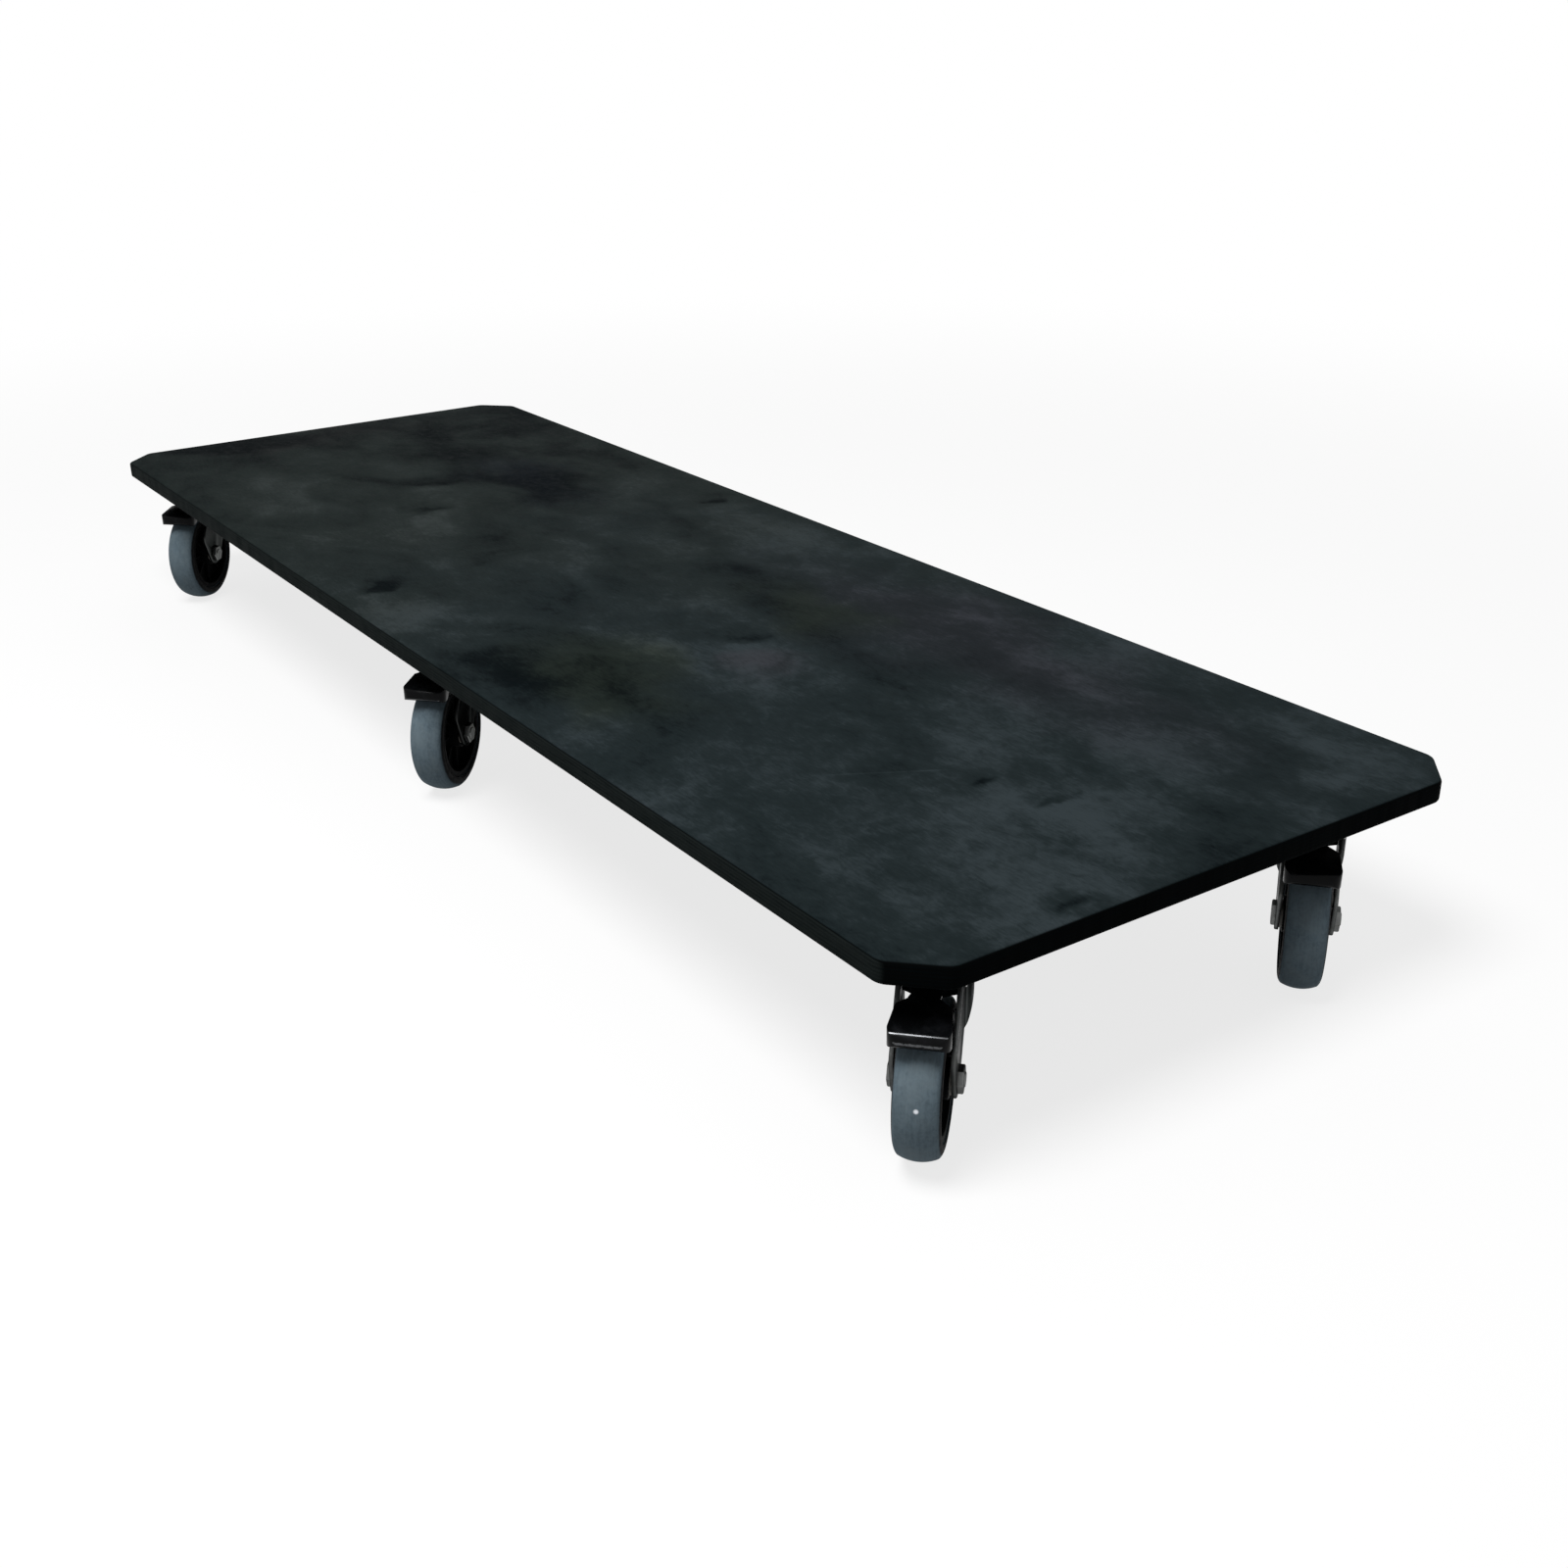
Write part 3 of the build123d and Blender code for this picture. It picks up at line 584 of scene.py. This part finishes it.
def moulded(name, colour, roughness, size):
    """Plain moulded nylon or brake rubber with a fine skin and darker soiling."""
    finish = Finish(name)
    skin = finish.noise(finish.place, size, 3, 0.6)
    soil = finish.noise(finish.place, 70, 4, 0.6, 0.6)
    dark = shade_of(colour, 0.5)
    finish.set(
        Base_Color=finish.mix(finish.span(soil, 0.42, 0.75), colour, dark),
        Roughness=finish.span(skin, 0.3, 0.7, roughness - 0.08, roughness + 0.08),
        Specular_IOR_Level=0.35)
    finish.bump(skin, 0.2, 0.00015)
    return finish.material


def dress(piece, material):
    """Gives a piece one finish all over."""
    piece.data.materials.clear()
    piece.data.materials.append(material)


def dress_nodes(prefix, material):
    """Gives the frame nodes whose names start so a finish in each of their slots."""
    found = [node for name, node in frame["nodes"].items() if name.startswith(prefix)]
    if not found:
        raise RuntimeError(f"the frame has no node that starts with {prefix}")
    for node in found:
        for slot in node.material_slots:
            slot.material = material


def take(piece):
    """Leaves edit mode and selects one piece only, or none."""
    if bpy.context.object and bpy.context.object.mode != "OBJECT":
        bpy.ops.object.mode_set(mode="OBJECT")
    bpy.ops.object.select_all(action="DESELECT")
    if piece:
        piece.select_set(True)
        bpy.context.view_layer.objects.active = piece


def section_point(point):
    """A point of a wheel section, given by its place along the axle and its distance from it."""
    return WHEEL_MIDDLE + Vector((0, point[0], point[1]))


def arc(middle, radius, start, end, steps):
    """Points round a corner of a wheel section, from one angle to another in degrees."""
    angles = [math.radians(start + (end - start) * step / steps) for step in range(steps + 1)]
    return [(middle[0] + radius * math.cos(a), middle[1] + radius * math.sin(a)) for a in angles]


def spin_wheel(name, half_section, steps):
    """Draws one half of a closed wheel section point by point, mirrors it and spins it round the axle."""
    points = half_section + [(-along, out) for along, out in reversed(half_section)]
    points.append(points[0])
    take(None)
    bpy.ops.mesh.primitive_plane_add(size=MM, location=section_point(points[0]))
    piece = bpy.context.active_object
    piece.name = name
    bpy.ops.object.mode_set(mode="EDIT")
    bpy.ops.mesh.select_mode(type="VERT")
    bpy.ops.mesh.select_all(action="SELECT")
    bpy.ops.mesh.merge(type="CENTER")
    for here, there in zip(points, points[1:]):
        step = section_point(there) - section_point(here)
        bpy.ops.mesh.extrude_vertices_move(TRANSFORM_OT_translate={"value": step})
    bpy.ops.mesh.select_all(action="SELECT")
    bpy.ops.mesh.remove_doubles(threshold=0.001 * MM)
    bpy.ops.mesh.spin(steps=steps, angle=2 * math.pi, center=WHEEL_MIDDLE, axis=(0, 1, 0))
    bpy.ops.mesh.select_all(action="SELECT")
    bpy.ops.mesh.remove_doubles(threshold=0.001 * MM)
    bpy.ops.mesh.normals_make_consistent(inside=False)
    bpy.ops.object.mode_set(mode="OBJECT")
    bpy.ops.object.transform_apply(location=True, rotation=True, scale=True)
    if len(piece.data.polygons) < steps * len(half_section):
        raise RuntimeError(f"{name} was not spun all round")
    return piece


def select_faces(piece, test):
    """In edit mode, selects the faces whose normal passes the test."""
    bpy.ops.mesh.select_mode(type="FACE")
    bpy.ops.mesh.select_all(action="DESELECT")
    shape = bmesh.from_edit_mesh(piece.data)
    for face in shape.faces:
        face.select_set(test(face.normal))
    bmesh.update_edit_mesh(piece.data)


def select_edges(piece, test):
    """In edit mode, selects the edges whose direction passes the test."""
    bpy.ops.mesh.select_mode(type="EDGE")
    bpy.ops.mesh.select_all(action="DESELECT")
    shape = bmesh.from_edit_mesh(piece.data)
    for edge in shape.edges:
        edge.select_set(test((edge.verts[1].co - edge.verts[0].co).normalized()))
    bmesh.update_edit_mesh(piece.data)


def apply_modifier(piece, kind, **settings):
    """Adds one modifier with these settings and applies it."""
    take(piece)
    bpy.ops.object.modifier_add(type=kind)
    modifier = piece.modifiers[-1]
    for name, value in settings.items():
        setattr(modifier, name, value)
    bpy.ops.object.modifier_apply(modifier=modifier.name)


def smooth(piece, degrees):
    take(piece)
    bpy.ops.object.shade_smooth_by_angle(angle=math.radians(degrees))


def mark_places(piece):
    """Writes each point's place in the caster's own axes on the mesh, for the finishes."""
    places = piece.data.attributes.new("caster_place", "FLOAT_VECTOR", "POINT")
    for vertex, entry in zip(piece.data.vertices, places.data):
        entry.vector = vertex.co


def fit_casters(pattern, name, node, body, rolled=False, wear=None):
    """Copies a piece modelled in the caster's own axes to every caster and drops the pattern."""
    mark_places(pattern)
    if wear:
        pattern.data.attributes.new("wear", "FLOAT_VECTOR", "POINT")
    for index, caster in enumerate(CASTERS):
        take(pattern)
        bpy.ops.object.duplicate(linked=False)
        piece = bpy.context.active_object
        piece.name = f"{name}_{caster}"
        turn = Matrix.Identity(4)
        if rolled:
            middle = Matrix.Translation(WHEEL_MIDDLE)
            turn = middle @ Matrix.Rotation(index * WHEEL_STAGGER, 4, "Y") @ middle.inverted()
        piece.matrix_world = caster_matrix(caster) @ turn
        bpy.ops.object.transform_apply(location=True, rotation=True, scale=True)
        if wear:
            for entry in piece.data.attributes["wear"].data:
                entry.vector = wear.get(caster, (0, 0, 0))
        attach(piece, f"{caster}_{body}")
        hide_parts(f"{node}_{caster}")
    bpy.data.objects.remove(pattern)


def copy_node(node, name, matrix=Matrix.Identity(4)):
    """Copies a frame node's mesh, moved by the matrix, and joins its loose triangles."""
    mesh = frame["nodes"][node].data.copy()
    mesh.transform(matrix)
    piece = bpy.data.objects.new(name, mesh)
    bpy.context.scene.collection.objects.link(piece)
    take(piece)
    bpy.ops.object.mode_set(mode="EDIT")
    bpy.ops.mesh.select_all(action="SELECT")
    bpy.ops.mesh.remove_doubles(threshold=0.002 * MM)
    bpy.ops.mesh.dissolve_limited(angle_limit=math.radians(0.4))
    bpy.ops.object.mode_set(mode="OBJECT")
    return piece


def pressing_of(node, name, edge_break):
    """A steel pressing of the modelled caster in the caster's own axes, with its edges broken."""
    piece = copy_node(f"{node}_{MODEL_CASTER}", name, caster_matrix(MODEL_CASTER).inverted())
    apply_modifier(
        piece, "BEVEL", limit_method="ANGLE", angle_limit=math.radians(35),
        width=edge_break, segments=2)
    smooth(piece, 40)
    return piece


class PLATFORM_OT_deck(bpy.types.Operator):
    """Cut the deck board to shape, round its rims, bore it for the screws and stain it black"""

    bl_idname = "platform.deck"
    bl_label = "Deck board"

    def execute(self, context):
        settings = context.scene.platform_deck
        low, high = [Vector(corner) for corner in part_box("deck")]
        take(None)
        bpy.ops.mesh.primitive_cube_add(size=1, location=(low + high) / 2, scale=high - low)
        board = bpy.context.active_object
        board.name = "deck_board"
        bpy.ops.object.transform_apply(location=True, rotation=True, scale=True)
        bpy.ops.object.mode_set(mode="EDIT")
        for cut, steps in ((settings.corner_cut, 1), (settings.corner_ease, 5)):
            select_edges(board, lambda along: abs(along.z) > 0.9)
            bpy.ops.mesh.bevel(offset=cut, segments=steps, affect="EDGES")
        select_edges(board, lambda along: abs(along.z) < 0.1)
        bpy.ops.mesh.bevel(offset=settings.rounding, segments=4, affect="EDGES")
        bpy.ops.object.mode_set(mode="OBJECT")
        bored = copy_node("deck", "bored_board")
        apply_modifier(board, "BOOLEAN", operation="INTERSECT", solver="EXACT", object=bored)
        bpy.data.objects.remove(bored)
        smooth(board, 40)
        dress(board, stained_veneer(settings))
        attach(board, "deck")
        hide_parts("deck")
        return {"FINISHED"}


class PLATFORM_OT_hardware(bpy.types.Operator):
    """Finish the screws, plates, bolts, pins, races, balls, bushes and brake shoes"""

    bl_idname = "platform.hardware"
    bl_label = "Hardware"

    def execute(self, context):
        settings = context.scene.platform_caster
        zinc = tuple(settings.zinc)
        bright = tuple(settings.bright_zinc)
        dress_nodes("deck_screws", zinc_plate("screw_zinc_plate", bright, (300, 300, 60)))
        dress_nodes("top_plate", zinc_plate("plate_zinc_plate", zinc, (30, 260, 260)))
        dress_nodes("axle_bolt", zinc_plate("axle_zinc_plate", bright, (200, 200, 200)))
        dress_nodes("king_pins", turned_steel("king_pin_steel", (0.46, 0.45, 0.43)))
        dress_nodes("pedal_pin", turned_steel("pedal_pin_steel", (0.19, 0.19, 0.185)))
        dress_nodes("lower_races", turned_steel("race_steel", (0.42, 0.42, 0.42)))
        dress_nodes("bearing_balls", turned_steel("ball_steel", (0.60, 0.60, 0.60)))
        dress_nodes("wheel_bushes", moulded("bush_nylon", (0.30, 0.29, 0.26), 0.42, 900))
        dress_nodes("brake_shoe", moulded("shoe_rubber", (0.014, 0.014, 0.014), 0.72, 1200))
        return {"FINISHED"}


class PLATFORM_OT_forks(bpy.types.Operator):
    """Break the edges of the pressed forks and plate them"""

    bl_idname = "platform.forks"
    bl_label = "Forks"

    def execute(self, context):
        settings = context.scene.platform_caster
        fork = pressing_of("fork", "fork_pattern", settings.edge_break)
        # Heights above the axle where painted shade under the deck starts, and where it is full
        shade_heights = [WHEEL_MIDDLE.z + height for height in (48 * MM, 82 * MM)]
        dress(fork, zinc_plate("fork_zinc_plate", tuple(settings.zinc), (420, 420, 14), shade_heights))
        fit_casters(fork, "fork_pressing", "fork", "swivel", wear=FORK_SHADE)
        return {"FINISHED"}


class PLATFORM_OT_tyres(bpy.types.Operator):
    """Model the tyres: crowned tread, rounded shoulders, bead groove on each side"""

    bl_idname = "platform.tyres"
    bl_label = "Tyres"

    def execute(self, context):
        settings = context.scene.platform_caster
        side = settings.tread_width / 2
        rim_gap = 0.03 * MM
        bore = WHEEL_RADIUS - settings.tyre_depth + rim_gap
        shoulder = settings.shoulder
        # The bead, in from the side and out from the bore: a broken edge, then a shallow groove
        bead = ((1.2, 0), (0.3, 0.3), (0, 0.9), (0.5, 1.2), (0.5, 1.8), (0, 2.1))
        half = [(side - inset * MM, bore + rise * MM) for inset, rise in bead]
        rounded = arc((side - shoulder, WHEEL_RADIUS - shoulder), shoulder, 0, 90, 14)
        rounded += [(side - shoulder - step * MM, WHEEL_RADIUS) for step in (1.5, 3, 4.5, 6)]
        for along, out in rounded:
            crowned = WHEEL_RADIUS - settings.crown + math.sqrt(settings.crown ** 2 - along ** 2)
            half.append((along, min(out, crowned)))
        tyre = spin_wheel("tyre_pattern", half, steps=144)
        smooth(tyre, 35)
        dress(tyre, grey_rubber(settings))
        fit_casters(tyre, "tyre_rubber", "tyre", "wheel", rolled=True, wear=SPOTTED_WHEEL)
        return {"FINISHED"}


class PLATFORM_OT_wheel_centres(bpy.types.Operator):
    """Model the wheel centres: hub, web, rim and stiffening ribs"""

    bl_idname = "platform.wheel_centres"
    bl_label = "Wheel centres"

    def execute(self, context):
        settings = context.scene.platform_caster
        rim = WHEEL_RADIUS - settings.tyre_depth
        rim_side = settings.rim_width / 2
        hub = settings.hub_diameter / 2
        hub_end = settings.hub_length / 2
        bush_bore = 9.1 * MM
        web = 4.5 * MM
        inside = rim - 6 * MM
        hub_edge = 1.2 * MM
        rim_edge = 1 * MM
        crease = 3 * MM
        half = [(hub_end, bush_bore)]
        half += arc((hub_end - hub_edge, hub - hub_edge), hub_edge, 0, 90, 4)
        half += arc((web + crease, hub + crease), crease, 270, 180, 5)
        half += arc((web + crease, inside - crease), crease, 180, 90, 5)
        half += arc((rim_side - rim_edge, inside + rim_edge), rim_edge, 270, 360, 3)
        half += arc((rim_side - rim_edge, rim - rim_edge), rim_edge, 0, 90, 3)
        centre = spin_wheel("centre_pattern", half, steps=112)
        ribs = self.rib(hub, inside, web)
        angles = [step * 2 * math.pi / settings.ribs for step in range(settings.ribs)]
        places = [(side, angle) for side in (1, -1) for angle in angles]
        copies = [self.turned(ribs, side, angle) for side, angle in places[1:]]
        take(ribs)
        for copy in copies:
            copy.select_set(True)
        bpy.ops.object.join()
        apply_modifier(centre, "BOOLEAN", operation="UNION", solver="EXACT", object=ribs)
        bpy.data.objects.remove(ribs)
        smooth(centre, 35)
        dress(centre, black_moulding(settings))
        fit_casters(centre, "wheel_moulding", "wheel_centre", "wheel", rolled=True)
        return {"FINISHED"}

    def rib(self, hub, inside, web):
        """One rib on one side of the web, tapered to its top and softened, its ends sunk in hub and rim."""
        sunk = 1.5 * MM
        thickness = 3 * MM
        taper = 0.72
        soft_edge = 0.5 * MM
        length = inside - hub + 2 * sunk
        height = 6.5 * MM
        low = web - 1 * MM
        middle = WHEEL_MIDDLE + Vector(((hub + inside) / 2, low + height / 2, 0))
        take(None)
        bpy.ops.mesh.primitive_cube_add(size=1, location=middle, scale=(length, height, thickness))
        rib = bpy.context.active_object
        rib.name = "rib_pattern"
        bpy.ops.object.transform_apply(location=True, rotation=True, scale=True)
        bpy.ops.object.mode_set(mode="EDIT")
        select_faces(rib, lambda normal: normal.y > 0.9)
        top = middle + Vector((0, height / 2, 0))
        bpy.ops.transform.resize(value=(1, 1, taper), center_override=top)
        bpy.ops.mesh.bevel(offset=soft_edge, segments=2, affect="EDGES")
        bpy.ops.object.mode_set(mode="OBJECT")
        return rib

    def turned(self, rib, side, angle):
        """A copy of the rib, turned round the axle and set on one side of the web."""
        take(rib)
        bpy.ops.object.duplicate(linked=False)
        copy = bpy.context.active_object
        middle = Matrix.Translation(WHEEL_MIDDLE)
        over = Matrix.Rotation(math.pi, 4, "X") if side < 0 else Matrix.Identity(4)
        copy.matrix_world = middle @ Matrix.Rotation(angle, 4, "Y") @ over @ middle.inverted()
        bpy.ops.object.transform_apply(location=True, rotation=True, scale=True)
        return copy


class PLATFORM_OT_pedals(bpy.types.Operator):
    """Break the edges of the pressed brake pedals and enamel them"""

    bl_idname = "platform.pedals"
    bl_label = "Brake pedals"

    def execute(self, context):
        settings = context.scene.platform_caster
        pedal = pressing_of("brake_pedal", "pedal_pattern", settings.edge_break)
        toe = max(corner[0] for corner in pedal.bound_box)
        low = min(corner[2] for corner in pedal.bound_box)
        lip = settings.lip_height / 2
        bends = []
        for angle, width in PAINTED_HIGHLIGHT_LINES:
            turn = math.radians(angle)
            bend = (toe - lip + lip * math.cos(turn), 0, low + lip + lip * math.sin(turn))
            bends.append((bend, width))
        dress(pedal, black_enamel(settings, bends))
        fit_casters(pedal, "pedal_pressing", "brake_pedal", "pedal", wear=PEDAL_HIGHLIGHTS)
        return {"FINISHED"}


class PLATFORM_OT_stage(bpy.types.Operator):
    """Set the floor, the light and the camera"""

    bl_idname = "platform.stage"
    bl_label = "Stage"

    def execute(self, context):
        settings = context.scene.platform_stage
        self.lay_floor(settings)
        self.light_world(settings)
        self.hang_lamp(
            "key_lamp", place=(0.7, -1.6, 3.6), target=(0.1, 0, 0.1), size=2.0, power=settings.key)
        self.hang_lamp(
            "fill_lamp", place=(-2.8, 2.4, 3.2), target=(0, 0, 0.1), size=3.0, power=settings.key * 0.12)
        bpy.ops.object.camera_add(location=settings.eye, rotation=settings.gaze)
        camera = bpy.context.active_object
        camera.name = "photo_camera"
        camera.data.sensor_width = 36
        camera.data.lens = settings.lens
        camera.data.clip_start = 0.01
        camera.data.clip_end = 200
        context.scene.camera = camera
        context.scene.view_settings.view_transform = "Standard"
        return {"FINISHED"}

    def lay_floor(self, settings):
        take(None)
        bpy.ops.mesh.primitive_circle_add(vertices=128, radius=40, fill_type="NGON")
        floor = bpy.context.active_object
        floor.name = "pale_floor"
        finish = Finish("pale_floor")
        glow = finish.add("ShaderNodeEmission", {"Color": (1, 1, 1, 1), "Strength": 1.0})
        path = finish.add("ShaderNodeLightPath")
        seen = path.outputs["Is Camera Ray"]
        finish.set(
            Base_Color=finish.mix(seen, settings.floor, settings.paper),
            Roughness=0.9, Specular_IOR_Level=0.0)
        through = path.outputs["Is Transmission Ray"]
        mirror = finish.maths("MAXIMUM", path.outputs["Is Glossy Ray"], through)
        far = finish.span(finish.length(finish.place), 0.9, 3.2, 0.78, 1.0)
        share = finish.maths("MAXIMUM", finish.maths("MULTIPLY", seen, far), mirror)
        surfaces = {0: share, 1: finish.shader.outputs[0], 2: glow.outputs[0]}
        blend = finish.add("ShaderNodeMixShader", surfaces)
        finish.tree.links.new(blend.outputs[0], finish.tree.nodes["Material Output"].inputs["Surface"])
        floor.data.materials.append(finish.material)

    def light_world(self, settings):
        world = bpy.data.worlds.new("even_light")
        world.use_nodes = True
        tree = world.node_tree
        lit = tree.nodes["Background"]
        lit.inputs["Color"].default_value = (1, 1, 1, 1)
        lit.inputs["Strength"].default_value = settings.sky
        white = tree.nodes.new("ShaderNodeBackground")
        white.inputs["Color"].default_value = (1, 1, 1, 1)
        white.inputs["Strength"].default_value = 1.0
        path = tree.nodes.new("ShaderNodeLightPath")
        seen = path.outputs["Is Camera Ray"]
        for name in ("Is Glossy Ray", "Is Transmission Ray"):
            either = tree.nodes.new("ShaderNodeMath")
            either.operation = "MAXIMUM"
            tree.links.new(seen, either.inputs[0])
            tree.links.new(path.outputs[name], either.inputs[1])
            seen = either.outputs[0]
        blend = tree.nodes.new("ShaderNodeMixShader")
        tree.links.new(seen, blend.inputs[0])
        tree.links.new(lit.outputs[0], blend.inputs[1])
        tree.links.new(white.outputs[0], blend.inputs[2])
        tree.links.new(blend.outputs[0], tree.nodes["World Output"].inputs["Surface"])
        bpy.context.scene.world = world

    def hang_lamp(self, name, place, target, size, power):
        aim = (Vector(target) - Vector(place)).to_track_quat("-Z", "Y").to_euler()
        bpy.ops.object.light_add(type="AREA", location=place, rotation=aim)
        lamp = bpy.context.active_object
        lamp.name = name
        lamp.data.shape = "DISK"
        lamp.data.size = size
        lamp.data.energy = power


class PLATFORM_PT_panel(bpy.types.Panel):
    """Pieces and finishes of the platform"""

    bl_idname = "PLATFORM_PT_panel"
    bl_label = "Caster Platform"
    bl_space_type = "VIEW_3D"
    bl_region_type = "UI"
    bl_category = "Platform"

    def draw(self, context):
        for title, group, operators in PANEL_GROUPS:
            box = self.layout.box()
            box.label(text=title)
            settings = getattr(context.scene, group)
            for name in settings.__annotations__:
                box.prop(settings, name)
            for operator in operators:
                box.operator(operator.bl_idname)


PANEL_GROUPS = (
    ("Deck", "platform_deck", (PLATFORM_OT_deck,)),
    ("Casters", "platform_caster", (
        PLATFORM_OT_hardware, PLATFORM_OT_forks, PLATFORM_OT_tyres,
        PLATFORM_OT_wheel_centres, PLATFORM_OT_pedals)),
    ("Stage", "platform_stage", (PLATFORM_OT_stage,)),
)
SETTINGS = {
    "platform_deck": PlatformDeckSettings,
    "platform_caster": PlatformCasterSettings,
    "platform_stage": PlatformStageSettings,
}
OPERATORS = [operator for title, group, operators in PANEL_GROUPS for operator in operators]
CLASSES = [*SETTINGS.values(), *OPERATORS, PLATFORM_PT_panel]


def register():
    for cls in CLASSES:
        bpy.utils.register_class(cls)
    for name, group in SETTINGS.items():
        setattr(bpy.types.Scene, name, PointerProperty(type=group))


def unregister():
    for name in SETTINGS:
        delattr(bpy.types.Scene, name)
    for cls in reversed(CLASSES):
        bpy.utils.unregister_class(cls)


def main():
    register()
    bpy.ops.platform.deck()
    bpy.ops.platform.hardware()
    bpy.ops.platform.forks()
    bpy.ops.platform.tyres()
    bpy.ops.platform.wheel_centres()
    bpy.ops.platform.pedals()
    bpy.ops.platform.stage()
    take(None)


if __name__ == "__main__":
    main()
